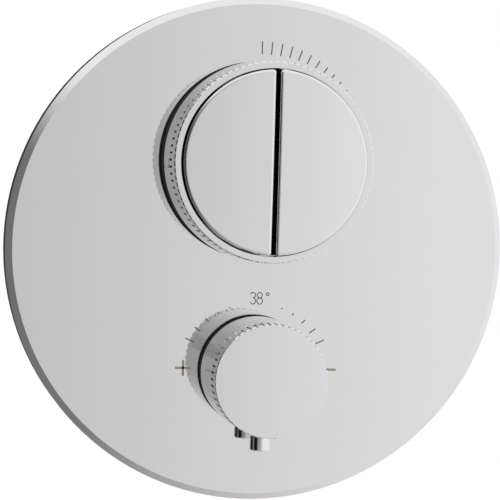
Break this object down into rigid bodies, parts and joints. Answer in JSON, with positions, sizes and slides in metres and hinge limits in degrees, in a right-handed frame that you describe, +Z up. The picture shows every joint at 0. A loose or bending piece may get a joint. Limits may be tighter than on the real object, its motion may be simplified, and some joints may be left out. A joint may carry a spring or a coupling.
{
  "type": "thermostatic shower valve",
  "caption": "Concealed thermostatic shower valve with a round chromed wall plate, a flow ring round two half-moon push buttons, and a temperature knob with an override button.",
  "frame": {"origin": "middle of the wall bracket's back face, between its four fixing holes", "axes": "+Z up, +Y into the wall, so the plate, ring, buttons and knob face -Y; +X to the right seen from the front"},
  "size_m": [0.22, 0.1266, 0.22],
  "materials": {
    "polished_chrome": "mirror-polished chrome plate",
    "dark_plastic": "black moulded acetal",
    "grey_plastic": "grey moulded glass-filled nylon",
    "cast_brass": "sand-cast brass, machined at the bores",
    "turned_brass": "turned bright brass",
    "steel": "zinc-plated steel",
    "black_steel": "black-oxide steel",
    "spring_steel": "stainless spring wire",
    "black_rubber": "EPDM rubber",
    "foam": "closed-cell foam strip",
    "filter_mesh": "stainless mesh"
  },
  "bodies": {
    "fixed": {"wall_plate": "polished_chrome", "plate_seal": "foam", "mounting_frame": "grey_plastic", "frame_screws": "steel", "flow_sleeve": "dark_plastic", "temperature_sleeve": "dark_plastic", "sleeve_seals": "black_rubber", "ring_bearing": "dark_plastic", "button_carrier": "dark_plastic", "carrier_screw": "black_steel", "flow_cartridge": "turned_brass", "flow_nut": "turned_brass", "left_push_cartridge": "turned_brass", "right_push_cartridge": "turned_brass", "push_nuts": "turned_brass", "stop_ring": "dark_plastic", "temperature_cartridge": "turned_brass", "cartridge_nut": "turned_brass", "valve_body": "cast_brass", "check_valves": "grey_plastic", "inlet_filters": "filter_mesh", "cartridge_seals": "black_rubber", "wall_bracket": "steel", "bracket_screws": "steel"},
    "flow_ring": {"flow_ring": "polished_chrome"},
    "flow_gear": {"flow_pinion": "dark_plastic", "flow_spindle": "turned_brass"},
    "left_button": {"left_button": "polished_chrome", "left_push_rod": "steel"},
    "right_button": {"right_button": "polished_chrome", "right_push_rod": "steel"},
    "knob": {"temperature_knob": "polished_chrome", "knob_insert": "grey_plastic", "knob_screw": "steel", "knob_clip_ring": "spring_steel", "temperature_spindle": "turned_brass", "override_spring": "spring_steel"},
    "override": {"override_button": "polished_chrome"},
    "thermostat": {"wax_element": "turned_brass", "regulating_slide": "turned_brass"}
  },
  "joints": [
    {"name": "flow_ring_turn", "type": "hinge", "parent": "fixed", "child": "flow_ring", "pos_m": [0, -0.104, 0.039], "axis": [0, 1, 0], "range_deg": [0, 50]},
    {"name": "flow_pinion_turn", "type": "hinge", "parent": "fixed", "child": "flow_gear", "pos_m": [0, -0.1, 0.063], "axis": [0, 1, 0], "range_deg": [0, 150]},
    {"name": "left_button_press", "type": "slide", "parent": "fixed", "child": "left_button", "axis": [0, 1, 0], "range_m": [0, 0.004], "stiffness_N_per_m": 900},
    {"name": "right_button_press", "type": "slide", "parent": "fixed", "child": "right_button", "axis": [0, 1, 0], "range_m": [0, 0.004], "stiffness_N_per_m": 900},
    {"name": "temperature_turn", "type": "hinge", "parent": "fixed", "child": "knob", "pos_m": [0, -0.106, -0.053], "axis": [0, -1, 0], "range_deg": [-90, 90]},
    {"name": "override_press", "type": "slide", "parent": "knob", "child": "override", "axis": [0, 0, 1], "range_m": [0, 0.003], "stiffness_N_per_m": 900, "deforming": ["override_spring"]},
    {"name": "thermostat_travel", "type": "slide", "parent": "fixed", "child": "thermostat", "axis": [0, 1, 0], "range_m": [-0.0012, 0.0012]}
  ],
  "couplings": [
    {"joint": "flow_pinion_turn", "follows": "flow_ring_turn", "ratio": 3},
    {"joint": "thermostat_travel", "follows": "temperature_turn", "m_per_rad": 0.00076}
  ]
}
